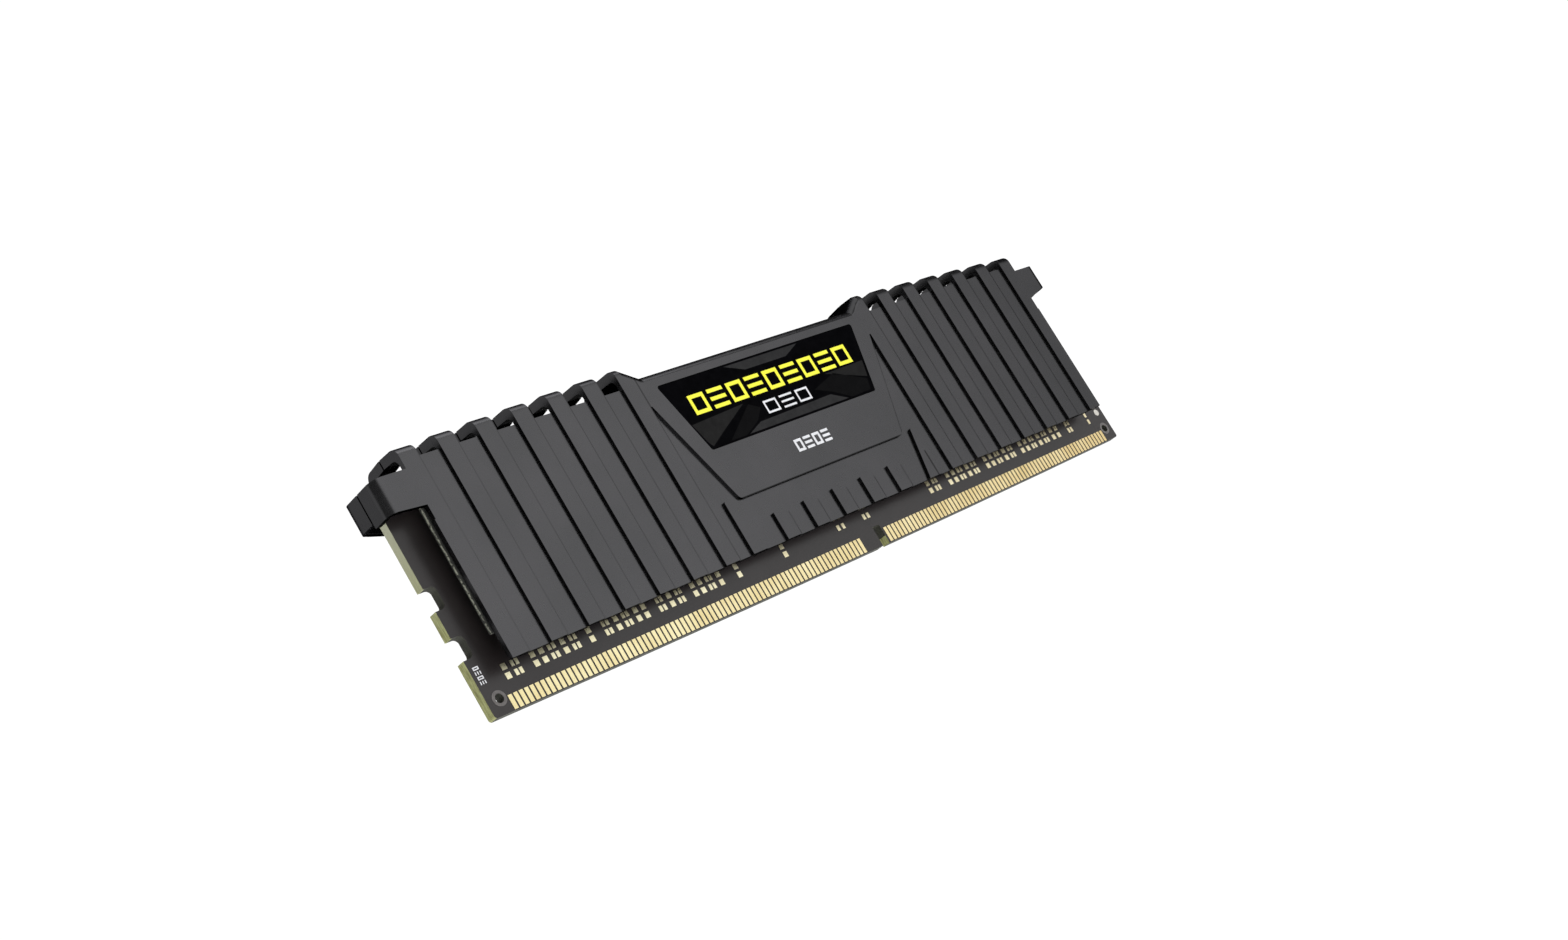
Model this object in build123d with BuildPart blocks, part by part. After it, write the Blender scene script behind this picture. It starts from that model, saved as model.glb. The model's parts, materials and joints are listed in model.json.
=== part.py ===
from build123d import *
import os

os.makedirs("parts", exist_ok=True)

# Frame: X runs along the module, Z runs up from the card edge, the badge side faces -Y.
# The origin is the middle of the card edge, half way through the circuit board.

# ---- circuit board, standard 288-contact outline ----
BOARD_LENGTH = 133.35
BOARD_HEIGHT = 31.25
BOARD_THICKNESS = 1.4
BOARD_FACE = BOARD_THICKNESS / 2
EDGE_BOW = 0.4
BOARD_CORNER_RADIUS = 0.4
SIDE_NOTCH_DEPTH = 1.7
SIDE_NOTCH_HEIGHT = 3.0
SIDE_NOTCH_CENTRES_Z = (9.5, 16.1)
SIDE_NOTCH_RADIUS = 0.75
KEY_X = 5.8
KEY_CORNER = 0.2
KEY_WIDTH = 1.5
KEY_TOP = 3.0
TOOLING_HOLE_X = 64.8
TOOLING_HOLE_Z = 2.4
TOOLING_HOLE_RADIUS = 0.56
TOOLING_RING_RADIUS = 1.0
TOOLING_RING_CLEARANCE = 0.05

# ---- card-edge contacts ----
CONTACT_PITCH = 0.85
CONTACT_WIDTH = 0.6
CONTACT_TOP = 2.33
CONTACT_EDGE_GAP = 0.12
CONTACT_THICKNESS = 0.04
LEFT_CONTACTS = 77
LEFT_FIRST_X = -63.325
RIGHT_CONTACTS = 67
RIGHT_FIRST_X = 7.225

# ---- bare gold pads above the contacts ----
PAD_THICKNESS = 0.04
WIDE_PAD = 0.78
NARROW_PAD = 0.5
LOWER_PAD_Z = (4.0, 4.8)
UPPER_PAD_Z = (5.2, 6.0)
PAD_GROUPS = (
    (-62.07, "wnn"),
    (-57.6, "wwnnwnn"),
    (-48.43, "w"),
    (-45.93, "nnwnnww"),
    (-36.47, "nnwnn"),
    (-30.0, "wwnnw"),
    (-21.67, "w"),
    (-12.45, "w"),
    (20.1, "wnn"),
    (24.9, "wwnnwnn"),
    (34.4, "wwnnwnn"),
    (43.6, "wwnnwnn"),
    (52.1, "ww"),
    (56.35, "nn"),
    (62.1, "n"),
)
PAD_PITCH = {"ww": 1.42, "wn": 1.3, "nn": 0.73, "nw": 1.42}
CENTRE_PAD_X = (-0.95, 0.1, 4.7, 5.6)
CENTRE_PAD_Z = 4.8
CENTRE_PAD_WIDTH = 0.55
CENTRE_PAD_HEIGHT = 0.8
FIDUCIAL_RADIUS = 0.55
FIDUCIALS = ((65.2, 5.25), (-65.2, 28.6))

# ---- memory chips ----
CHIP_WIDTH = 7.5
CHIP_HEIGHT = 11.0
CHIP_CENTRE_Z = 18.0
FIRST_CHIP_X = 13.5
CHIP_PITCH = 13.9
CHIPS_PER_HALF = 4
BALL_DIAMETER = 0.45
BALL_HEIGHT = 0.3
BALL_PITCH = 0.8
BALL_ROWS = 13
BALL_COLUMNS = (-4, -3, -2, 2, 3, 4)
SUBSTRATE_THICKNESS = 0.2
MOULD_THICKNESS = 0.65
MOULD_MARK_RADIUS = 0.35
MOULD_MARK_DEPTH = 0.05
MOULD_MARK_INSET = 0.9
CHIP_TOTAL = BALL_HEIGHT + SUBSTRATE_THICKNESS + MOULD_THICKNESS

# ---- small parts on the board ----
CAP_LENGTH = 1.0
CAP_WIDTH = 0.5
CAP_HEIGHT = 0.5
CAP_TERMINAL = 0.22
CAP_COLUMN_Z = (13.5, 16.5, 19.5, 22.5)
UPPER_CAP_Z = 25.4
UPPER_CAP_OFFSETS = (-2.4, 0.0, 2.4)
LOWER_CAP_Z = 10.7
LOWER_CAP_OFFSETS = (-2.0, 2.0)
BULK_LENGTH = 2.0
BULK_WIDTH = 1.25
BULK_HEIGHT = 0.85
BULK_TERMINAL = 0.4
BULK_X = (-4.5, 4.5)
BULK_Z = (13.5, 17.0, 24.5)
ARRAY_LENGTH = 2.0
ARRAY_WIDTH = 1.0
ARRAY_HEIGHT = 0.4
ARRAY_TERMINAL_WIDTH = 0.3
ARRAY_TERMINAL_LENGTH = 0.2
ARRAY_TERMINAL_PITCH = 0.5
ARRAY_ROW_Z = 8.3
ARRAY_OFFSETS = (-2.4, 2.4)
SENSOR_SIZE = (2.0, 3.0, 0.5)
SENSOR_PAD_SIZE = (0.35, 0.25, 0.05)
SENSOR_PAD_PITCH = 0.5
SENSOR_CENTRE = (0.0, 20.0)

# ---- heat spreaders, one stamped part used on both sides ----
OUTER_FACE = 3.85
SHEET = 0.8
STEP = 0.4
RAISED_INNER = OUTER_FACE - SHEET
WEB_FACE = OUTER_FACE - STEP
WEB_INNER = WEB_FACE - SHEET
MID_GAP = 0.13
WALL = 0.35
PLATE_HALF_WIDTH = 62.65
PLATE_BOTTOM = 5.53
PLATE_CORNER = 0.5
WEB_TOP = 32.3
STRIP_PITCH = 6.13
STRIP_WIDTH = 2.7
FIRST_STRIP = 4
LAST_STRIP = 10
CROWN_HEIGHT = 35.74
CROWN_DROP = 0.000396
CENTRE_TOP = 33.45
CENTRE_HALF_WIDTH = FIRST_STRIP * STRIP_PITCH - STRIP_WIDTH / 2
FLARE_START_X = 24.9
FLARE_END_X = 21.9
FOLD_FALL = 0.22
FOLD_RADIUS = 1.3
STRIP_FOLD = (1.25, 1.0)
CENTRE_FOLD = (0.8, 0.5)
FOLD_LAP = 0.6

EAR_OUT = 67.85
EAR_ROOT = 61.5
EAR_TOP = 31.1
EAR_BEND_RADIUS = 1.5
LEFT_EAR_BOTTOM = (26.45, 26.15)
RIGHT_EAR_BOTTOM = (27.1, 25.9)
EAR_BOTTOM_X = (66.8, 62.5)

PANEL_TOP_HALF = 23.0
PANEL_TOP_Z = 28.75
PANEL_BOTTOM_HALF = 17.5
PANEL_BOTTOM_Z = 12.95
PANEL_CORNER = 0.9
PANEL_OVERLAP = 0.2
SHORT_STRIP_TOP = 9.6
SHORT_STRIP_CORNER = 0.9
SHORT_STRIPS = (-2, -1, 0, 1, 2)
WEDGE_OUTER_X = 20.55
WEDGE_FOOT_X = 17.7
WEDGE_HEAD_X = 19.5
WEDGE_TOP = 13.4
WEDGE_CORNER = 0.3

BADGE_TOP_HALF = 20.45
BADGE_TOP_Z = 31.2
BADGE_BOTTOM_HALF = 17.4
BADGE_BOTTOM_Z = 20.45
BADGE_CORNER = 0.4
BADGE_RECESS = 0.3
BADGE_THICKNESS = 0.25
BADGE_CLEARANCE = 0.08

# How far a cutting shape reaches past the material it cuts.
CUT_MARGIN = 1.0

# ---- pads between the chips, the board and the spreaders ----
THERMAL_PAD_HALF = 62.45
THERMAL_PAD_Z = (9.4, 27.0)
FOAM_HALF = 61.0
FOAM_Z = (9.4, 27.0)


def front_plane(distance):
    return Plane.XZ.offset(distance)


def edge_z(x):
    return EDGE_BOW * (x / (BOARD_LENGTH / 2)) ** 2


def strip_left(index):
    return index * STRIP_PITCH - STRIP_WIDTH / 2


def strip_top(index):
    return CROWN_HEIGHT - CROWN_DROP * (index * STRIP_PITCH) ** 2


def tall_strip_indices():
    ribs = range(FIRST_STRIP, LAST_STRIP + 1)
    return [-index for index in reversed(ribs)] + list(ribs)


def chip_centres():
    steps = [FIRST_CHIP_X + CHIP_PITCH * step for step in range(CHIPS_PER_HALF)]
    return [-x for x in reversed(steps)] + steps


def rectangle_between(x0, x1, z0, z1):
    with Locations(((x0 + x1) / 2, (z0 + z1) / 2)):
        Rectangle(x1 - x0, z1 - z0)


def trapezoid(bottom_half, bottom_z, top_half, top_z):
    Polygon(
        (-bottom_half, bottom_z),
        (bottom_half, bottom_z),
        (top_half, top_z),
        (-top_half, top_z),
        align=None,
    )


# ================= circuit board =================
with BuildPart() as pcb:
    with BuildSketch(front_plane(-BOARD_FACE)):
        half = BOARD_LENGTH / 2
        with BuildLine():
            ThreePointArc((-half, EDGE_BOW), (0, 0), (half, EDGE_BOW))
            Polyline((half, EDGE_BOW), (half, BOARD_HEIGHT), (-half, BOARD_HEIGHT), (-half, EDGE_BOW))
        make_face()
        corners = [v for v in vertices() if abs(v.X) > half - BOARD_CORNER_RADIUS]
        fillet(corners, radius=BOARD_CORNER_RADIUS)
        for side in (-1, 1):
            for notch_z in SIDE_NOTCH_CENTRES_Z:
                with Locations((side * half, notch_z)):
                    RectangleRounded(
                        2 * SIDE_NOTCH_DEPTH,
                        SIDE_NOTCH_HEIGHT,
                        SIDE_NOTCH_RADIUS,
                        mode=Mode.SUBTRACT,
                    )
            with Locations((side * TOOLING_HOLE_X, TOOLING_HOLE_Z)):
                Circle(TOOLING_HOLE_RADIUS, mode=Mode.SUBTRACT)
        with Locations((KEY_X, 0)):
            RectangleRounded(KEY_WIDTH, 2 * KEY_TOP, KEY_CORNER, mode=Mode.SUBTRACT)
    extrude(amount=BOARD_THICKNESS)


# ================= contacts and bare pads =================
def contact_row(first_x, count, side):
    with BuildPart() as row:
        with BuildSketch(front_plane(side * BOARD_FACE)):
            for index in range(count):
                x = first_x + CONTACT_PITCH * index
                foot = edge_z(x) + CONTACT_EDGE_GAP
                rectangle_between(x - CONTACT_WIDTH / 2, x + CONTACT_WIDTH / 2, foot, CONTACT_TOP)
        extrude(amount=side * CONTACT_THICKNESS)
    return row


front_contacts_left = contact_row(LEFT_FIRST_X, LEFT_CONTACTS, 1)
front_contacts_right = contact_row(RIGHT_FIRST_X, RIGHT_CONTACTS, 1)
rear_contacts_left = contact_row(LEFT_FIRST_X, LEFT_CONTACTS, -1)
rear_contacts_right = contact_row(RIGHT_FIRST_X, RIGHT_CONTACTS, -1)


def pad_centres():
    """(x, width) of every pad: each group starts at its own x and steps by the pitch of its pair."""
    found = []
    for start, kinds in PAD_GROUPS:
        x = start
        for index, kind in enumerate(kinds):
            if index > 0:
                x += PAD_PITCH[kinds[index - 1] + kind]
            found.append((x, WIDE_PAD if kind == "w" else NARROW_PAD))
    return found


with BuildPart() as termination_pads:
    with BuildSketch(front_plane(BOARD_FACE)):
        for z_low, z_high in (LOWER_PAD_Z, UPPER_PAD_Z):
            for x, width in pad_centres():
                rectangle_between(x - width / 2, x + width / 2, z_low, z_high)
        for x in CENTRE_PAD_X:
            with Locations((x, CENTRE_PAD_Z)):
                Rectangle(CENTRE_PAD_WIDTH, CENTRE_PAD_HEIGHT)
    extrude(amount=PAD_THICKNESS)

with BuildPart() as fiducials:
    with BuildSketch(front_plane(BOARD_FACE)):
        with Locations(*FIDUCIALS):
            Circle(FIDUCIAL_RADIUS)
    extrude(amount=PAD_THICKNESS)

with BuildPart() as tooling_hole_rings:
    with BuildSketch(front_plane(BOARD_FACE)):
        with Locations((-TOOLING_HOLE_X, TOOLING_HOLE_Z), (TOOLING_HOLE_X, TOOLING_HOLE_Z)):
            Circle(TOOLING_RING_RADIUS)
            Circle(TOOLING_HOLE_RADIUS + TOOLING_RING_CLEARANCE, mode=Mode.SUBTRACT)
    extrude(amount=PAD_THICKNESS)


# ================= memory chips =================
def chip_body(centre_x):
    with BuildPart() as chip:
        with BuildSketch(front_plane(BOARD_FACE + BALL_HEIGHT + SUBSTRATE_THICKNESS)):
            with Locations((centre_x, CHIP_CENTRE_Z)):
                Rectangle(CHIP_WIDTH, CHIP_HEIGHT)
        extrude(amount=MOULD_THICKNESS)
        mark_x = centre_x - CHIP_WIDTH / 2 + MOULD_MARK_INSET
        mark_z = CHIP_CENTRE_Z + CHIP_HEIGHT / 2 - MOULD_MARK_INSET
        with BuildSketch(front_plane(BOARD_FACE + CHIP_TOTAL)):
            with Locations((mark_x, mark_z)):
                Circle(MOULD_MARK_RADIUS)
        extrude(amount=-MOULD_MARK_DEPTH, mode=Mode.SUBTRACT)
    return chip


chips = [chip_body(x) for x in chip_centres()]

with BuildPart() as dram_substrates:
    with BuildSketch(front_plane(BOARD_FACE + BALL_HEIGHT)):
        for x in chip_centres():
            with Locations((x, CHIP_CENTRE_Z)):
                Rectangle(CHIP_WIDTH, CHIP_HEIGHT)
    extrude(amount=SUBSTRATE_THICKNESS)

with BuildPart() as dram_solder_balls:
    with BuildSketch(front_plane(BOARD_FACE)):
        ball_points = [
            (x + column * BALL_PITCH, CHIP_CENTRE_Z + (row - (BALL_ROWS - 1) / 2) * BALL_PITCH)
            for x in chip_centres()
            for column in BALL_COLUMNS
            for row in range(BALL_ROWS)
        ]
        with Locations(*ball_points):
            Circle(BALL_DIAMETER / 2)
    extrude(amount=BALL_HEIGHT)

# ================= small parts =================
gap_columns = [FIRST_CHIP_X + CHIP_PITCH * (step + 0.5) for step in range(CHIPS_PER_HALF - 1)]
gap_columns = [-x for x in reversed(gap_columns)] + gap_columns
small_cap_points = [(x, z) for x in gap_columns for z in CAP_COLUMN_Z]
small_cap_points += [(x + dx, UPPER_CAP_Z) for x in chip_centres() for dx in UPPER_CAP_OFFSETS]
small_cap_points += [(x + dx, LOWER_CAP_Z) for x in chip_centres() for dx in LOWER_CAP_OFFSETS]
bulk_cap_points = [(x, z) for x in BULK_X for z in BULK_Z]
array_points = [(x + dx, ARRAY_ROW_Z) for x in chip_centres() for dx in ARRAY_OFFSETS]


def two_terminal_bodies(points, length, width, height, terminal):
    with BuildPart() as bodies:
        with BuildSketch(front_plane(BOARD_FACE)):
            with Locations(*points):
                Rectangle(length - 2 * terminal, width)
        extrude(amount=height)
    return bodies


def two_terminal_caps(points, length, width, height, terminal):
    shift = (length - terminal) / 2
    with BuildPart() as caps:
        with BuildSketch(front_plane(BOARD_FACE)):
            with Locations(*points):
                with Locations((-shift, 0), (shift, 0)):
                    Rectangle(terminal, width)
        extrude(amount=height)
    return caps


small_size = (CAP_LENGTH, CAP_WIDTH, CAP_HEIGHT, CAP_TERMINAL)
bulk_size = (BULK_LENGTH, BULK_WIDTH, BULK_HEIGHT, BULK_TERMINAL)
capacitor_bodies = two_terminal_bodies(small_cap_points, *small_size)
capacitor_terminals = two_terminal_caps(small_cap_points, *small_size)
bulk_capacitor_bodies = two_terminal_bodies(bulk_cap_points, *bulk_size)
bulk_capacitor_terminals = two_terminal_caps(bulk_cap_points, *bulk_size)

with BuildPart() as resistor_arrays:
    with BuildSketch(front_plane(BOARD_FACE)):
        with Locations(*array_points):
            Rectangle(ARRAY_LENGTH, ARRAY_WIDTH - 2 * ARRAY_TERMINAL_LENGTH)
    extrude(amount=ARRAY_HEIGHT)

with BuildPart() as resistor_array_terminals:
    with BuildSketch(front_plane(BOARD_FACE)):
        edge = (ARRAY_WIDTH - ARRAY_TERMINAL_LENGTH) / 2
        with Locations(*array_points):
            with Locations((0, -edge), (0, edge)):
                with GridLocations(ARRAY_TERMINAL_PITCH, 1, 4, 1):
                    Rectangle(ARRAY_TERMINAL_WIDTH, ARRAY_TERMINAL_LENGTH)
    extrude(amount=ARRAY_HEIGHT)

with BuildPart() as spd_sensor:
    with BuildSketch(front_plane(BOARD_FACE + SENSOR_PAD_SIZE[2])):
        with Locations(SENSOR_CENTRE):
            Rectangle(SENSOR_SIZE[0], SENSOR_SIZE[1])
    extrude(amount=SENSOR_SIZE[2])

with BuildPart() as spd_sensor_leads:
    with BuildSketch(front_plane(BOARD_FACE)):
        reach = SENSOR_SIZE[1] / 2 - SENSOR_PAD_SIZE[0] / 2
        with Locations(SENSOR_CENTRE):
            with Locations((0, -reach), (0, reach)):
                with GridLocations(SENSOR_PAD_PITCH, 1, 4, 1):
                    Rectangle(SENSOR_PAD_SIZE[1], SENSOR_PAD_SIZE[0])
    extrude(amount=SENSOR_PAD_SIZE[2])


# ================= heat spreaders =================
def fold_section(x, top, shape):
    """Sheet folded over the top, rising gently to meet the other spreader at the middle plane.

    The shape holds the thickness over the top and the radius of the inner corner.
    """
    thickness, inner_radius = shape
    shoulder = top - FOLD_FALL
    with BuildSketch(Plane.YZ.offset(x)) as section:
        Polygon(
            (-OUTER_FACE, WEB_TOP - FOLD_LAP),
            (-RAISED_INNER, WEB_TOP - FOLD_LAP),
            (-RAISED_INNER, shoulder - thickness),
            (-MID_GAP, top - thickness),
            (-MID_GAP, top),
            (-OUTER_FACE, shoulder),
            align=None,
        )
        outer = section.vertices().sort_by_distance((-OUTER_FACE, shoulder))[0]
        fillet(outer, radius=FOLD_RADIUS)
        inner = section.vertices().sort_by_distance((-RAISED_INNER, shoulder - thickness))[0]
        fillet(inner, radius=inner_radius)
    return section.sketch


def fold(x_left, x_right, top, shape):
    extrude(fold_section(x_left, top, shape), amount=x_right - x_left, dir=(1, 0, 0))


def flare(side):
    """Sloping fold between the centre and the first tall strip."""
    tall = fold_section(side * FLARE_START_X, strip_top(FIRST_STRIP), STRIP_FOLD)
    low = fold_section(side * FLARE_END_X, CENTRE_TOP, CENTRE_FOLD)
    loft([tall.face(), low.face()], ruled=True)


def ear(side, bottoms):
    """End flange that wraps round the end of the board to the middle plane."""
    low = min(bottoms) - CUT_MARGIN
    with BuildSketch(Plane.XY.offset(low)) as section:
        Polygon(
            (side * EAR_ROOT, -OUTER_FACE),
            (side * EAR_OUT, -OUTER_FACE),
            (side * EAR_OUT, -MID_GAP),
            (side * (EAR_OUT - SHEET), -MID_GAP),
            (side * (EAR_OUT - SHEET), -RAISED_INNER),
            (side * EAR_ROOT, -RAISED_INNER),
            align=None,
        )
        outer = section.vertices().sort_by_distance((side * EAR_OUT, -OUTER_FACE))[0]
        fillet(outer, radius=EAR_BEND_RADIUS)
        inner = section.vertices().sort_by_distance((side * (EAR_OUT - SHEET), -RAISED_INNER))[0]
        fillet(inner, radius=EAR_BEND_RADIUS - SHEET)
    extrude(section.sketch, amount=EAR_TOP - low, dir=(0, 0, 1))
    with BuildSketch(front_plane(-CUT_MARGIN)) as underside:
        Polygon(
            (side * EAR_BOTTOM_X[1], bottoms[1]),
            (side * EAR_BOTTOM_X[0], bottoms[0]),
            (side * (EAR_OUT + CUT_MARGIN), bottoms[0]),
            (side * (EAR_OUT + CUT_MARGIN), low - CUT_MARGIN),
            (side * EAR_BOTTOM_X[1], low - CUT_MARGIN),
            align=None,
        )
    depth = OUTER_FACE + 2 * CUT_MARGIN
    extrude(underside.sketch, amount=depth, dir=(0, -1, 0), mode=Mode.SUBTRACT)


with BuildPart() as front_heat_spreader:
    # recessed sheet between the raised strips
    with BuildSketch(front_plane(WEB_INNER)):
        rectangle_between(-PLATE_HALF_WIDTH, PLATE_HALF_WIDTH, PLATE_BOTTOM, WEB_TOP)
        fillet(vertices().group_by(Axis.Y)[0], radius=PLATE_CORNER)
    extrude(amount=SHEET)
    # raised strips, centre panel and wedges
    with BuildSketch(front_plane(WEB_FACE)):
        for index in tall_strip_indices():
            left = strip_left(index)
            rectangle_between(left, left + STRIP_WIDTH, PLATE_BOTTOM, WEB_TOP)
        rectangle_between(-CENTRE_HALF_WIDTH, CENTRE_HALF_WIDTH, PANEL_TOP_Z, WEB_TOP)
    extrude(amount=STEP)
    with BuildSketch(front_plane(WEB_FACE)):
        trapezoid(PANEL_BOTTOM_HALF, PANEL_BOTTOM_Z, PANEL_TOP_HALF, PANEL_TOP_Z + PANEL_OVERLAP)
        fillet(vertices().group_by(Axis.Y)[0], radius=PANEL_CORNER)
    extrude(amount=STEP)
    with BuildSketch(front_plane(WEB_FACE)):
        for index in SHORT_STRIPS:
            left = strip_left(index)
            rectangle_between(left, left + STRIP_WIDTH, PLATE_BOTTOM, SHORT_STRIP_TOP)
        right_corners = vertices().group_by(Axis.Y)[-1].sort_by(Axis.X)[1::2]
        fillet(right_corners, radius=SHORT_STRIP_CORNER)
    extrude(amount=STEP)
    with BuildSketch(front_plane(WEB_FACE)):
        for side in (-1, 1):
            Polygon(
                (side * WEDGE_OUTER_X, PLATE_BOTTOM),
                (side * WEDGE_FOOT_X, PLATE_BOTTOM),
                (side * WEDGE_HEAD_X, WEDGE_TOP),
                (side * WEDGE_OUTER_X, WEDGE_TOP),
                align=None,
            )
        fillet(vertices().group_by(Axis.Y)[-1], radius=WEDGE_CORNER)
    extrude(amount=STEP)
    # hollows behind the raised areas, as a pressed sheet has them
    with BuildSketch(front_plane(WEB_INNER)):
        for index in tall_strip_indices():
            left = strip_left(index) + WALL
            right = strip_left(index) + STRIP_WIDTH - WALL
            if index == -LAST_STRIP:
                left -= 2 * WALL
            if index == LAST_STRIP:
                right += 2 * WALL
            rectangle_between(left, right, PLATE_BOTTOM - CUT_MARGIN, WEB_TOP + CUT_MARGIN)
        for index in SHORT_STRIPS:
            left = strip_left(index) + WALL
            right = left + STRIP_WIDTH - 2 * WALL
            rectangle_between(left, right, PLATE_BOTTOM - CUT_MARGIN, SHORT_STRIP_TOP - 2 * WALL)
        trapezoid(
            PANEL_BOTTOM_HALF - WALL,
            PANEL_BOTTOM_Z + WALL,
            PANEL_TOP_HALF - 2 * WALL,
            PANEL_TOP_Z,
        )
        rectangle_between(-CENTRE_HALF_WIDTH, CENTRE_HALF_WIDTH, PANEL_TOP_Z, WEB_TOP + CUT_MARGIN)
    extrude(amount=STEP, mode=Mode.SUBTRACT)
    # folds over the top
    for index in tall_strip_indices():
        left = strip_left(index)
        right = left + STRIP_WIDTH
        if index == -FIRST_STRIP:
            right = -FLARE_START_X
        if index == FIRST_STRIP:
            left = FLARE_START_X
        fold(left, right, strip_top(index), STRIP_FOLD)
    fold(-FLARE_END_X, FLARE_END_X, CENTRE_TOP, CENTRE_FOLD)
    flare(-1)
    flare(1)
    # end flanges
    ear(-1, LEFT_EAR_BOTTOM)
    ear(1, RIGHT_EAR_BOTTOM)
    # shallow seat for the badge
    with BuildSketch(front_plane(OUTER_FACE)):
        trapezoid(BADGE_BOTTOM_HALF, BADGE_BOTTOM_Z, BADGE_TOP_HALF, BADGE_TOP_Z)
        fillet(vertices(), radius=BADGE_CORNER)
    extrude(amount=-BADGE_RECESS, mode=Mode.SUBTRACT)

with BuildPart() as rear_heat_spreader:
    add(front_heat_spreader.part, rotation=(0, 0, 180))

with BuildPart() as front_badge:
    with BuildSketch(front_plane(OUTER_FACE - BADGE_RECESS)):
        trapezoid(
            BADGE_BOTTOM_HALF - BADGE_CLEARANCE,
            BADGE_BOTTOM_Z + BADGE_CLEARANCE,
            BADGE_TOP_HALF - BADGE_CLEARANCE,
            BADGE_TOP_Z - BADGE_CLEARANCE,
        )
        fillet(vertices(), radius=BADGE_CORNER)
    extrude(amount=BADGE_THICKNESS)

with BuildPart() as rear_badge:
    add(front_badge.part, rotation=(0, 0, 180))

# ================= pads =================
with BuildPart() as front_thermal_pad:
    with BuildSketch(front_plane(BOARD_FACE + CHIP_TOTAL)):
        rectangle_between(-THERMAL_PAD_HALF, THERMAL_PAD_HALF, *THERMAL_PAD_Z)
    extrude(amount=WEB_INNER - BOARD_FACE - CHIP_TOTAL)

with BuildPart() as rear_foam_pad:
    with BuildSketch(front_plane(-BOARD_FACE)):
        rectangle_between(-FOAM_HALF, FOAM_HALF, *FOAM_Z)
    extrude(amount=-(WEB_INNER - BOARD_FACE))

# ================= export =================
nodes = {
    "pcb": pcb,
    "front_contacts_left": front_contacts_left,
    "front_contacts_right": front_contacts_right,
    "rear_contacts_left": rear_contacts_left,
    "rear_contacts_right": rear_contacts_right,
    "termination_pads": termination_pads,
    "fiducials": fiducials,
    "tooling_hole_rings": tooling_hole_rings,
    "dram_substrates": dram_substrates,
    "dram_solder_balls": dram_solder_balls,
    "capacitor_bodies": capacitor_bodies,
    "capacitor_terminals": capacitor_terminals,
    "bulk_capacitor_bodies": bulk_capacitor_bodies,
    "bulk_capacitor_terminals": bulk_capacitor_terminals,
    "resistor_arrays": resistor_arrays,
    "resistor_array_terminals": resistor_array_terminals,
    "spd_sensor": spd_sensor,
    "spd_sensor_leads": spd_sensor_leads,
    "front_thermal_pad": front_thermal_pad,
    "rear_foam_pad": rear_foam_pad,
    "front_heat_spreader": front_heat_spreader,
    "rear_heat_spreader": rear_heat_spreader,
    "front_badge": front_badge,
    "rear_badge": rear_badge,
}
for number, chip in enumerate(chips, start=1):
    nodes[f"dram_chip_{number}"] = chip

for name, node in nodes.items():
    node.part.label = name
    export_step(node.part, f"parts/{name}.step")
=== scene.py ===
import json
import math

import bmesh
import bpy
from mathutils import Matrix, Vector


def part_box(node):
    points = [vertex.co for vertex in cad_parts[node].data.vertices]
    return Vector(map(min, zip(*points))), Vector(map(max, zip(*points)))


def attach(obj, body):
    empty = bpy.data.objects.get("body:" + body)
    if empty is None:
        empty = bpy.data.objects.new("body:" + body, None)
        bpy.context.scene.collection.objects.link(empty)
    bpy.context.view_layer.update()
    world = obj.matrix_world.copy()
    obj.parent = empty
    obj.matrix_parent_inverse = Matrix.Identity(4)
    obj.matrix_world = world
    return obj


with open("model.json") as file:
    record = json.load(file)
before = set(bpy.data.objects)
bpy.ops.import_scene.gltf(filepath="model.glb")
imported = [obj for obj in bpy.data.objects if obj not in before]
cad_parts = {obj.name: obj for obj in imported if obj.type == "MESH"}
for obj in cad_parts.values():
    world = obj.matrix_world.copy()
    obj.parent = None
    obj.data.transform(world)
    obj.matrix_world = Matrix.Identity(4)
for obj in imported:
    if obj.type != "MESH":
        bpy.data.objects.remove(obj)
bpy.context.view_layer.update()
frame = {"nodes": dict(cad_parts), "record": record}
nodes = frame["nodes"]
scene = bpy.context.scene
MM = 0.001

# ---------------------------------------------------------------- places on the part, in mm
# X runs along the board from its middle, Y out from its middle plane, Z up from the contact edge.
# The panel's foot and head are each a half width and a height.
STRIP_PITCH = 6.13
STRIP_HALF_WIDTH = 1.35
SHORT_STRIP_TOP_Z = 9.6
PANEL_FOOT = (17.5, 12.95)
PANEL_HEAD = (23.0, 28.75)
WALL_TOP_Z = 32.2
SLOPE_FOOT_Z = 32.5
RAISED_FACE_Y = 3.8
RAISED_WALL_Y = 3.1
BOARD_END_X = 66.45
NOTCH_MOUTH_Z = 1.2
PALER_END_Z = (12.0, 26.0)
PAD_LINE_Y = 2.2
INK_HEIGHT = 0.015
FACET_HEIGHT = 0.006

# Painted shade lines along the far edges of strips and panel: places in mm, and strengths from 0 to 1.
LINE_HALF_WIDTH = 0.13
LAST_LINE_X = 61.0
FAINTEST_LINE_X = -60.0
FULL_LINE_X = 20.0
FAINTEST_LINE = 0.35
EDGE_SHADE_STRENGTH = 0.8


# ---------------------------------------------------------------- camera, in mm
SENSOR_WIDTH = 36.0
FOCAL_LENGTH = 47.48
CAMERA_PLACE = (-207.63, -191.41, -29.54)
CAMERA_RIGHT = (0.64597, -0.56955, -0.50827)
CAMERA_UP = (0.25308, -0.46838, 0.84650)


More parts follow.
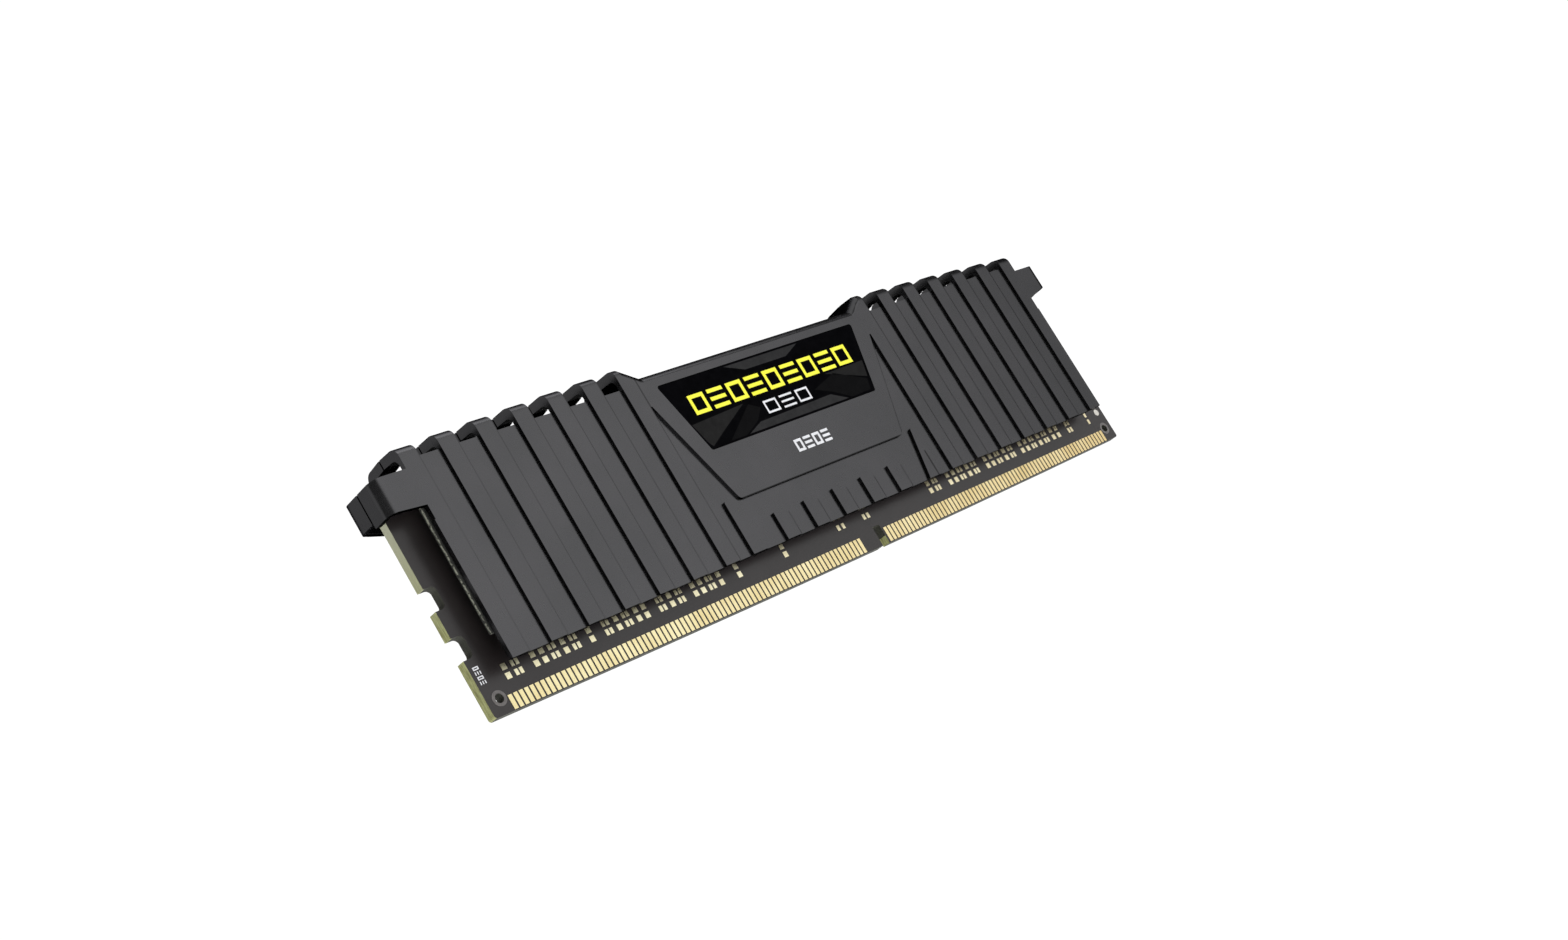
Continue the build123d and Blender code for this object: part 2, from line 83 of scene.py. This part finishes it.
def make_camera():
    """Looks up at the badge side from the left and below, rolled as a hand-held shot would be."""
    data = bpy.data.cameras.new("camera")
    data.sensor_width = SENSOR_WIDTH
    data.lens = FOCAL_LENGTH
    data.clip_start = 0.01
    data.clip_end = 20.0
    camera = bpy.data.objects.new("camera", data)
    scene.collection.objects.link(camera)
    right = Vector(CAMERA_RIGHT)
    back = right.cross(Vector(CAMERA_UP)).normalized()
    up = back.cross(right).normalized()
    right.normalize()
    turn = Matrix((right, up, back)).transposed()
    camera.matrix_world = Matrix.Translation(Vector(CAMERA_PLACE) * MM) @ turn.to_4x4()
    scene.camera = camera


make_camera()


# ---------------------------------------------------------------- node-tree helpers
class Tree:
    """A material's node tree with short calls for the nodes used here."""

    def __init__(self, name):
        self.material = bpy.data.materials.new(name)
        self.material.use_nodes = True
        self.nodes = self.material.node_tree.nodes
        self.links = self.material.node_tree.links
        self.nodes.clear()
        self.out = self.nodes.new("ShaderNodeOutputMaterial")
        self.shader = self.nodes.new("ShaderNodeBsdfPrincipled")
        self.links.new(self.shader.outputs[0], self.out.inputs[0])
        coords = self.nodes.new("ShaderNodeTexCoord")
        self.place = coords.outputs["Object"]
        self.normal = coords.outputs["Normal"]

    def set(self, **values):
        for key, value in values.items():
            self.shader.inputs[key.replace("_", " ")].default_value = value

    def feed(self, key, socket):
        self.links.new(socket, self.shader.inputs[key])

    def scaled(self, factors):
        node = self.nodes.new("ShaderNodeMapping")
        node.inputs["Scale"].default_value = factors
        self.links.new(self.place, node.inputs["Vector"])
        return node.outputs[0]

    def noise(self, scale, detail=4.0, roughness=0.6, stretch=None):
        node = self.nodes.new("ShaderNodeTexNoise")
        node.inputs["Scale"].default_value = scale
        node.inputs["Detail"].default_value = detail
        node.inputs["Roughness"].default_value = roughness
        self.links.new(self.scaled(stretch) if stretch else self.place, node.inputs["Vector"])
        return node.outputs["Fac"]

    def cells(self, scale, feature="F1", stretch=None):
        node = self.nodes.new("ShaderNodeTexVoronoi")
        node.feature = feature
        node.inputs["Scale"].default_value = scale
        self.links.new(self.scaled(stretch) if stretch else self.place, node.inputs["Vector"])
        return node.outputs["Distance"]

    def remap(self, socket, low, high, to_low, to_high):
        node = self.nodes.new("ShaderNodeMapRange")
        node.inputs["From Min"].default_value = low
        node.inputs["From Max"].default_value = high
        node.inputs["To Min"].default_value = to_low
        node.inputs["To Max"].default_value = to_high
        self.links.new(socket, node.inputs["Value"])
        return node.outputs[0]

    def mottle(self, scale, detail, low=0.0, high=1.0, stretch=None):
        """Noise whose middle range is spread over low to high."""
        return self.remap(self.noise(scale, detail, stretch=stretch), 0.3, 0.7, low, high)

    def math(self, kind, first, second=0.0):
        node = self.nodes.new("ShaderNodeMath")
        node.operation = kind
        for slot, value in ((0, first), (1, second)):
            if isinstance(value, (int, float)):
                node.inputs[slot].default_value = value
            else:
                self.links.new(value, node.inputs[slot])
        return node.outputs[0]

    def over(self, value, limit):
        return self.math("GREATER_THAN", value, limit)

    def under(self, value, limit):
        return self.math("LESS_THAN", value, limit)

    def both(self, first, second):
        return self.math("MULTIPLY", first, second)

    def either(self, first, second):
        return self.math("MAXIMUM", first, second)

    def far(self, value):
        """Distance from zero, either way."""
        return self.math("ABSOLUTE", value)

    def mix(self, factor, first, second):
        node = self.nodes.new("ShaderNodeMix")
        node.data_type = "RGBA"
        if isinstance(factor, (int, float)):
            node.inputs["Factor"].default_value = factor
        else:
            self.links.new(factor, node.inputs["Factor"])
        for key, value in ((6, first), (7, second)):
            if isinstance(value, tuple):
                node.inputs[key].default_value = (*value, 1.0)
            else:
                self.links.new(value, node.inputs[key])
        return node.outputs[2]

    def split(self, socket):
        node = self.nodes.new("ShaderNodeSeparateXYZ")
        self.links.new(socket, node.inputs[0])
        return node.outputs

    def bump(self, height, strength, distance):
        node = self.nodes.new("ShaderNodeBump")
        node.inputs["Strength"].default_value = strength
        node.inputs["Distance"].default_value = distance
        self.links.new(height, node.inputs["Height"])
        self.links.new(node.outputs[0], self.shader.inputs["Normal"])


# ---------------------------------------------------------------- materials
def strip_shade_lines(t, x, z):
    """Mask of a painted shade line along the right-hand edge of each strip, fainter towards the left
    end.
    """
    steps = t.math("DIVIDE", x, STRIP_PITCH)
    beside = t.math("MULTIPLY", t.math("SUBTRACT", steps, t.math("ROUND", steps)), STRIP_PITCH)
    from_edge = t.far(t.math("SUBTRACT", beside, STRIP_HALF_WIDTH))
    line = t.under(from_edge, LINE_HALF_WIDTH)
    tall = t.both(t.over(t.far(x), PANEL_HEAD[0]), t.under(t.far(x), LAST_LINE_X))
    short = t.under(z, SHORT_STRIP_TOP_Z)
    line = t.both(line, t.either(tall, short))
    return t.both(line, t.remap(x, FAINTEST_LINE_X, FULL_LINE_X, FAINTEST_LINE, 1.0))


def panel_shade_lines(t, x, z):
    """Mask of a painted shade line along the foot and the right-hand slanted side of the panel."""
    lean = (PANEL_HEAD[0] - PANEL_FOOT[0]) / (PANEL_HEAD[1] - PANEL_FOOT[1])
    above_foot = t.math("SUBTRACT", z, PANEL_FOOT[1])
    side = t.math("ADD", t.math("MULTIPLY", above_foot, lean), PANEL_FOOT[0])
    near_side = t.under(t.far(t.math("SUBTRACT", x, side)), LINE_HALF_WIDTH)
    on_side = t.both(t.over(z, PANEL_FOOT[1]), t.under(z, PANEL_HEAD[1]))
    near_foot = t.under(t.far(above_foot), LINE_HALF_WIDTH)
    on_foot = t.under(t.far(x), PANEL_FOOT[0])
    return t.either(t.both(near_side, on_side), t.both(near_foot, on_foot))


def painted_edge_shade(t, place):
    """Painted shade: thin dark lines on the raised faces, on the right-hand edges as each spreader is
    seen from outside.
    """
    to_the_left = t.math("MULTIPLY", place[0], t.math("SIGN", place[1]))
    x = t.math("MULTIPLY", to_the_left, -1.0 / MM)
    z = t.math("DIVIDE", place[2], MM)
    raised = t.over(t.far(place[1]), RAISED_FACE_Y * MM)
    return t.both(raised, t.either(strip_shade_lines(t, x, z), panel_shade_lines(t, x, z)))


def shaded_walls(t, normal, place):
    """Walls of the strips and panel that face down, or to the right as seen from outside, painted near
    black as shade.
    """
    downward = t.remap(normal[2], -0.25, -0.75, 0.0, 1.0)
    sideways = t.remap(t.far(normal[0]), 0.2, 0.7, 0.0, 1.0)
    rightward = t.under(t.math("MULTIPLY", normal[0], normal[1]), -0.02)
    below_top = t.under(place[2], WALL_TOP_Z * MM)
    walls = t.either(downward, t.both(t.both(sideways, rightward), below_top))
    return t.both(walls, t.over(t.far(place[1]), RAISED_WALL_Y * MM))


def painted_slope_shade(t, normal, place):
    """Sloping folds between the centre of the top and the first tall strip on either side, painted
    darker as shade.
    """
    tilt = t.far(normal[0])
    sloping = t.both(t.over(tilt, 0.15), t.under(tilt, 0.93))
    return t.both(sloping, t.over(place[2], SLOPE_FOOT_Z * MM))


def anodised():
    """Blasted dark metal. The masks paint shade onto the lines, slopes and walls that return little
    light.
    """
    t = Tree("blasted_anodised")
    normal = t.split(t.normal)
    place = t.split(t.place)
    grain = t.noise(5200.0, 2.0, 0.5)
    colour = t.mix(t.mottle(90.0, 3.0), (0.088, 0.088, 0.091), (0.098, 0.097, 0.101))
    colour = t.mix(t.remap(grain, 0.62, 0.8, 0.0, 0.12), colour, (0.14, 0.14, 0.145))
    # Painted shade: dark lines along the far edges of strips and panel.
    colour = t.mix(t.math("MULTIPLY", painted_edge_shade(t, place), EDGE_SHADE_STRENGTH), colour, (0.02, 0.02, 0.02))
    # Painted shade: the sloping folds beside the middle of the top are darker.
    colour = t.mix(painted_slope_shade(t, normal, place), colour, (0.036, 0.036, 0.037))
    # Painted shade: near-black walls that face down or to the right.
    colour = t.mix(shaded_walls(t, normal, place), colour, (0.012, 0.012, 0.012))
    t.feed("Base Color", colour)
    t.feed("Roughness", t.mottle(900.0, 3.0, 0.22, 0.29))
    t.set(Metallic=1.0, Specular_Tint=(0.1, 0.1, 0.1, 1.0))
    t.bump(grain, 0.07, 0.03 * MM)
    return t.material


def board_mask():
    """Dark mask over faint tracks. Cut edges are pale at the two ends and in the key notch's mouth."""
    t = Tree("solder_mask")
    normal = t.split(t.normal)
    place = t.split(t.place)
    face = t.over(t.far(normal[1]), 0.6)
    board_end = t.over(t.far(place[0]), BOARD_END_X * MM)
    sideways = t.over(t.far(normal[0]), 0.5)
    notch_mouth = t.both(sideways, t.under(place[2], NOTCH_MOUTH_Z * MM))
    mask = t.mix(t.mottle(140.0, 4.0), (0.0140, 0.0115, 0.0115), (0.0195, 0.0160, 0.0160))
    fibres = t.noise(700.0, 3.0, 0.6, (1.0, 6.0, 1.0))
    fibres = t.remap(fibres, 0.35, 0.65, 0.0, 1.0)
    dark_cut = t.mix(fibres, (0.020, 0.021, 0.014), (0.035, 0.036, 0.022))
    pale_cut = t.mix(fibres, (0.21, 0.21, 0.075), (0.41, 0.43, 0.19))
    upper_end = t.remap(place[2], PALER_END_Z[0] * MM, PALER_END_Z[1] * MM, 0.0, 1.0)
    pale_cut = t.mix(upper_end, pale_cut, (0.46, 0.47, 0.34))
    cut = t.mix(t.either(board_end, notch_mouth), dark_cut, pale_cut)
    t.feed("Base Color", t.mix(face, cut, mask))
    t.feed("Roughness", t.remap(face, 0.0, 1.0, 0.75, 0.3))
    tracks = t.cells(420.0, "DISTANCE_TO_EDGE", (0.35, 1.0, 1.0))
    t.bump(t.remap(tracks, 0.0, 0.05, 0.0, 1.0), 0.05, 0.03 * MM)
    t.set(IOR=1.5)
    return t.material


def gold(name, dull, bright):
    """Plating, from dull to bright. Each colour is a pair, for the left and the right end; the right
    end's more orange colour is a painted reflection.
    """
    t = Tree(name)
    # Painted reflection: yellower at the left end, more orange at the right.
    along = t.remap(t.split(t.place)[0], -60.0 * MM, 60.0 * MM, 0.0, 1.0)
    t.feed("Base Color", t.mix(t.mottle(260.0, 4.0), t.mix(along, *dull), t.mix(along, *bright)))
    t.feed("Roughness", t.mottle(1500.0, 3.0, 0.24, 0.4, (4.0, 1.0, 1.0)))
    t.set(Metallic=1.0)
    t.bump(t.noise(2600.0, 2.0), 0.15, 0.03 * MM)
    return t.material


def metal(name, dark, light, low, high):
    """Bare metal between two colours and two roughnesses."""
    t = Tree(name)
    t.feed("Base Color", t.mix(t.mottle(800.0, 4.0), dark, light))
    t.feed("Roughness", t.mottle(2400.0, 3.0, low, high))
    t.set(Metallic=1.0)
    t.bump(t.noise(3000.0, 2.0), 0.2, 0.03 * MM)
    return t.material


def grainy(name, dark, light, low, high, scale=1200.0, strength=0.25):
    """Ceramic, resin, laminate or thick ink with a fine rough surface."""
    t = Tree(name)
    t.feed("Base Color", t.mix(t.mottle(scale, 4.0), dark, light))
    t.feed("Roughness", t.mottle(scale * 1.7, 3.0, low, high))
    t.bump(t.noise(scale * 3.0, 2.0), strength, 0.04 * MM)
    return t.material


def printed(name, dark, light):
    """Film or flat print that returns almost no gloss."""
    t = Tree(name)
    t.feed("Base Color", t.mix(t.mottle(900.0, 4.0), dark, light))
    t.feed("Roughness", t.mottle(1500.0, 3.0, 0.6, 0.7))
    t.set(Specular_IOR_Level=0.0)
    t.bump(t.noise(2700.0, 2.0), 0.05, 0.03 * MM)
    return t.material


def pad_edge():
    """Grey silicone pad whose cut edge is dark with a broken light line along it."""
    t = Tree("silicone_pad")
    wander = t.math("MULTIPLY", t.math("SUBTRACT", t.noise(900.0, 5.0, 0.8), 0.5), 0.8 * MM)
    depth = t.math("ADD", t.far(t.split(t.place)[1]), wander)
    off_line = t.far(t.math("SUBTRACT", depth, PAD_LINE_Y * MM))
    line = t.remap(off_line, 0.08 * MM, 0.22 * MM, 1.0, 0.0)
    broken = t.remap(t.noise(2300.0, 3.0), 0.42, 0.56, 0.0, 1.0)
    t.feed("Base Color", t.mix(t.both(line, broken), (0.035, 0.036, 0.032), (0.42, 0.43, 0.34)))
    t.feed("Roughness", t.remap(broken, 0.0, 1.0, 0.9, 0.75))
    t.bump(t.noise(3000.0, 2.0), 0.5, 0.1 * MM)
    return t.material


def foam(name, dark, light):
    """Closed-cell foam with small pores."""
    t = Tree(name)
    pores = t.cells(2600.0)
    t.feed("Base Color", t.mix(t.remap(pores, 0.1, 0.6, 0.0, 1.0), dark, light))
    t.feed("Roughness", t.remap(pores, 0.0, 0.7, 0.95, 0.8))
    t.bump(pores, 0.6, 0.15 * MM)
    return t.material


# By material slot.
finish = {
    "board": board_mask(),
    "gold": gold(
        "gold_plate",
        # Each pair's right-hand colour is more orange: a painted reflection.
        dull=((0.83, 0.71, 0.37), (0.82, 0.62, 0.28)),
        bright=((0.95, 0.88, 0.54), (0.98, 0.81, 0.45)),
    ),
    "pale_tin": metal("tinned_copper", (0.62, 0.60, 0.55), (0.80, 0.78, 0.72), 0.35, 0.5),
    "mask_edge": grainy("mask_over_copper", (0.10, 0.092, 0.09), (0.14, 0.13, 0.125), 0.4, 0.5),
    "substrate": grainy("green_laminate", (0.03, 0.07, 0.03), (0.06, 0.11, 0.05), 0.5, 0.65),
    "solder": metal("solder", (0.55, 0.55, 0.57), (0.75, 0.75, 0.77), 0.2, 0.4),
    "capacitor": grainy("fired_ceramic", (0.22, 0.13, 0.08), (0.34, 0.22, 0.14), 0.45, 0.6),
    "resistor": grainy("glazed_black", (0.015, 0.015, 0.018), (0.03, 0.03, 0.034), 0.25, 0.4),
    "chip": grainy("moulding_compound", (0.016, 0.016, 0.018), (0.028, 0.028, 0.031), 0.55, 0.7),
    "thermal_pad": pad_edge(),
    "foam": foam("closed_cell_foam", (0.02, 0.02, 0.022), (0.045, 0.045, 0.05)),
    "spreader": anodised(),
    "badge": printed("badge_film", (0.0018, 0.0018, 0.0022), (0.0030, 0.0030, 0.0036)),
}
# By node, where one node differs from the rest of its slot.
own_finish = {
    "termination_pads": gold(
        "pale_gold_plate",
        # Each pair's right-hand colour is more orange: a painted reflection.
        dull=((0.82, 0.76, 0.50), (0.80, 0.70, 0.45)),
        bright=((0.97, 0.93, 0.66), (0.98, 0.88, 0.60)),
    ),
}
slot_of = {entry["node"]: entry["material_slot"] for entry in frame["record"]["subparts"]}
for name, obj in nodes.items():
    obj.data.materials.clear()
    obj.data.materials.append(own_finish.get(name, finish[slot_of[name]]))


# ---------------------------------------------------------------- softened edges on the CAD shapes
def soften(name, width, segments=2, angle=35.0):
    """Rounds the edges sharper than the angle, given in degrees."""
    bevel = nodes[name].modifiers.new("soft_edge", "BEVEL")
    bevel.width = width
    bevel.segments = segments
    bevel.limit_method = "ANGLE"
    bevel.angle_limit = math.radians(angle)
    bevel.harden_normals = False


for name in ("front_heat_spreader", "rear_heat_spreader"):
    soften(name, 0.15 * MM)
soften("pcb", 0.06 * MM, segments=1, angle=50.0)


# ---------------------------------------------------------------- printed pieces
def slab_piece(name, outlines, distance, thickness, material, side=-1):
    """Thin raised print: flat outlines (x, z in mm) standing on a plane facing the front or rear."""
    mesh = bpy.data.meshes.new(name)
    bm = bmesh.new()
    for outline in outlines:
        near = [bm.verts.new((x * MM * -side, side * distance * MM, z * MM)) for x, z in outline]
        far = [bm.verts.new((v.co.x, side * (distance + thickness) * MM, v.co.z)) for v in near]
        count = len(outline)
        bm.faces.new(near)
        bm.faces.new(far)
        for i in range(count):
            j = (i + 1) % count
            bm.faces.new((near[i], near[j], far[j], far[i]))
    bmesh.ops.recalc_face_normals(bm, faces=bm.faces)
    bm.to_mesh(mesh)
    bm.free()
    obj = bpy.data.objects.new(name, mesh)
    scene.collection.objects.link(obj)
    mesh.materials.append(material)
    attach(obj, "root")


def bar(x, z, width, height):
    """Outline of an upright rectangle from its lower left corner."""
    return [(x, z), (x + width, z), (x + width, z + height), (x, z + height)]


def hollow_box(x, z, width, height, stroke):
    """Four strokes round a rectangle."""
    inner_width = width - 2 * stroke
    return [
        bar(x, z, stroke, height),
        bar(x + width - stroke, z, stroke, height),
        bar(x + stroke, z, inner_width, stroke),
        bar(x + stroke, z + height - stroke, inner_width, stroke),
    ]


def three_lines(x, z, width, height, stroke):
    """Three level strokes, one above the other."""
    gap = (height - 3 * stroke) / 2
    return [bar(x, z + step * (stroke + gap), width, stroke) for step in range(3)]


def sign_row(count, x, z, width, height, stroke, pitch):
    """Plain stand-in for a line of lettering: boxes and sets of lines in turn."""
    shapes = []
    for index in range(count):
        shape = three_lines if index % 2 else hollow_box
        shapes += shape(x + index * pitch, z, width, height, stroke)
    return shapes


BADGE_FACE = -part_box("front_badge")[0].y / MM
PLATE_FACE = -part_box("front_heat_spreader")[0].y / MM
BOARD_FACE = -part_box("pcb")[0].y / MM

yellow = grainy("yellow_ink", (0.86, 0.85, 0.03), (0.93, 0.92, 0.05), 0.4, 0.5, 900.0, 0.05)
white = grainy("white_ink", (0.66, 0.67, 0.70), (0.78, 0.79, 0.82), 0.45, 0.55, 900.0, 0.05)
facet_tones = {
    "dim": printed("badge_facet_dim", (0.0052, 0.0052, 0.0056), (0.0068, 0.0068, 0.0072)),
    "mid": printed("badge_facet_mid", (0.014, 0.0138, 0.014), (0.019, 0.0188, 0.019)),
    "pale": printed("badge_facet_pale", (0.024, 0.024, 0.025), (0.031, 0.031, 0.032)),
}
# Angular flat shapes printed on the badge under the signs, by tone.
facets = {
    "dim": [
        [(-13.4, 20.8), (-10.2, 20.8), (-6.9, 22.2), (-5.2, 23.8), (-7.0, 24.8)],
        [(6.2, 23.6), (11.4, 25.0), (17.3, 22.6), (16.7, 20.9), (12.4, 20.8), (9.4, 22.4)],
    ],
    "mid": [
        [(-18.3, 24.6), (-7.8, 25.1), (-13.9, 22.3), (-16.8, 20.9), (-17.3, 21.6)],
        [(9.8, 25.3), (18.4, 25.4), (17.6, 22.9)],
    ],
    "pale": [
        [(-7.4, 30.9), (8.0, 30.9), (4.7, 29.6), (-3.9, 29.6)],
        [(-6.6, 21.9), (8.6, 22.2), (11.6, 20.8), (-9.6, 20.8)],
    ],
}
badge_signs = sign_row(9, x=-16.5, z=25.65, width=3.0, height=2.95, stroke=0.55, pitch=3.76)
small_signs = sign_row(3, x=-4.3, z=22.55, width=2.6, height=1.95, stroke=0.3, pitch=3.35)
panel_signs = sign_row(4, x=-3.1, z=16.0, width=1.5, height=1.85, stroke=0.38, pitch=1.9)
board_signs = sign_row(4, x=0.0, z=0.0, width=0.42, height=0.85, stroke=0.14, pitch=0.62)
BOARD_SIGNS_LEFT = -66.1
BOARD_SIGNS_TOP = 6.9

for side, prefix in ((-1, "front"), (1, "rear")):
    for tone, outlines in facets.items():
        piece = f"{prefix}_badge_facets_{tone}"
        slab_piece(piece, outlines, BADGE_FACE, FACET_HEIGHT, facet_tones[tone], side)
    slab_piece(f"{prefix}_badge_yellow_signs", badge_signs, BADGE_FACE, INK_HEIGHT, yellow, side)
    slab_piece(f"{prefix}_badge_white_signs", small_signs, BADGE_FACE, INK_HEIGHT, white, side)
    slab_piece(f"{prefix}_panel_signs", panel_signs, PLATE_FACE, INK_HEIGHT, white, side)

# The board's signs read downwards, beside its left end.
turned = [[(BOARD_SIGNS_LEFT + z, BOARD_SIGNS_TOP - x) for x, z in outline] for outline in board_signs]
slab_piece("board_signs", turned, BOARD_FACE, INK_HEIGHT, white)


# ---------------------------------------------------------------- stage and light, in metres
FLOOR_RADIUS = 6.0
FLOOR_HEIGHT = -0.042
FLOOR_GLOW = 0.68
CEILING_PLACE = (0.1, -0.15, 0.6)
CEILING_SIZE = 0.7
CEILING_POWER = 3.0
BACKDROP = 1.05
FILL = 0.1
# Direction, the two cosines between which the edge fades in, and strength.
SOFT_BOXES = {
    "right of the lens": ((0.37, -0.92, 0.16), 0.67, 0.89, 0.95),
    "behind on the left": ((-0.643, 0.766, 0.1), 0.8, 0.93, 0.42),
    "behind on the right": ((0.8, 0.6, 0.1), 0.5, 0.75, 0.15),
    "overhead": ((0.0, 0.0, 1.0), 0.72, 0.9, 0.5),
}


def make_ceiling_light():
    """Square lamp above the part, aimed at the part's origin."""
    data = bpy.data.lights.new("overhead", "AREA")
    data.shape = "RECTANGLE"
    data.size = CEILING_SIZE
    data.size_y = CEILING_SIZE
    data.energy = CEILING_POWER
    lamp = bpy.data.objects.new("overhead", data)
    scene.collection.objects.link(lamp)
    lamp.location = CEILING_PLACE
    lamp.rotation_mode = "QUATERNION"
    lamp.rotation_quaternion = (-Vector(CEILING_PLACE)).to_track_quat("-Z", "Y")


def make_floor():
    """Pale glowing disc below the part."""
    mesh = bpy.data.meshes.new("floor")
    bm = bmesh.new()
    bmesh.ops.create_circle(bm, cap_ends=True, radius=FLOOR_RADIUS, segments=96)
    bm.to_mesh(mesh)
    bm.free()
    floor = bpy.data.objects.new("floor", mesh)
    floor.location = (0.0, 0.0, FLOOR_HEIGHT)
    scene.collection.objects.link(floor)
    t = Tree("pale_floor")
    tone = t.mottle(3.0, 2.0)
    t.feed("Base Color", t.mix(tone, (0.90, 0.90, 0.90), (0.92, 0.92, 0.92)))
    t.feed("Emission Color", t.mix(tone, (0.98, 0.98, 0.98), (1.0, 1.0, 1.0)))
    t.set(Roughness=0.9, Emission_Strength=FLOOR_GLOW)
    mesh.materials.append(t.material)


def make_world():
    """Plain white to the camera. As a light: soft boxes over a weak even fill."""
    world = bpy.data.worlds.new("studio")
    scene.world = world
    world.use_nodes = True
    tree = world.node_tree
    tree.nodes.clear()
    coords = tree.nodes.new("ShaderNodeTexCoord")
    out = tree.nodes.new("ShaderNodeOutputWorld")

    def facing(direction, low, high):
        dot = tree.nodes.new("ShaderNodeVectorMath")
        dot.operation = "DOT_PRODUCT"
        dot.inputs[1].default_value = Vector(direction).normalized()
        tree.links.new(coords.outputs["Generated"], dot.inputs[0])
        ramp = tree.nodes.new("ShaderNodeMapRange")
        ramp.interpolation_type = "SMOOTHSTEP"
        ramp.inputs["From Min"].default_value = low
        ramp.inputs["From Max"].default_value = high
        tree.links.new(dot.outputs["Value"], ramp.inputs["Value"])
        return ramp.outputs[0]

    def combine(kind, first, second):
        node = tree.nodes.new("ShaderNodeMath")
        node.operation = kind
        tree.links.new(first, node.inputs[0])
        if isinstance(second, float):
            node.inputs[1].default_value = second
        else:
            tree.links.new(second, node.inputs[1])
        return node.outputs[0]

    def background(strength):
        node = tree.nodes.new("ShaderNodeBackground")
        node.inputs["Color"].default_value = (1.0, 1.0, 1.0, 1.0)
        if isinstance(strength, float):
            node.inputs["Strength"].default_value = strength
        else:
            tree.links.new(strength, node.inputs["Strength"])
        return node.outputs[0]

    boxes = [combine("MULTIPLY", facing(*shape), power) for *shape, power in SOFT_BOXES.values()]
    level = boxes[0]
    for box in boxes[1:]:
        level = combine("ADD", level, box)
    path = tree.nodes.new("ShaderNodeLightPath")
    choose = tree.nodes.new("ShaderNodeMixShader")
    tree.links.new(path.outputs["Is Camera Ray"], choose.inputs[0])
    tree.links.new(background(combine("ADD", level, FILL)), choose.inputs[1])
    tree.links.new(background(BACKDROP), choose.inputs[2])
    tree.links.new(choose.outputs[0], out.inputs[0])


make_floor()
make_world()
make_ceiling_light()
scene.view_settings.view_transform = "Standard"
scene.view_settings.look = "None"
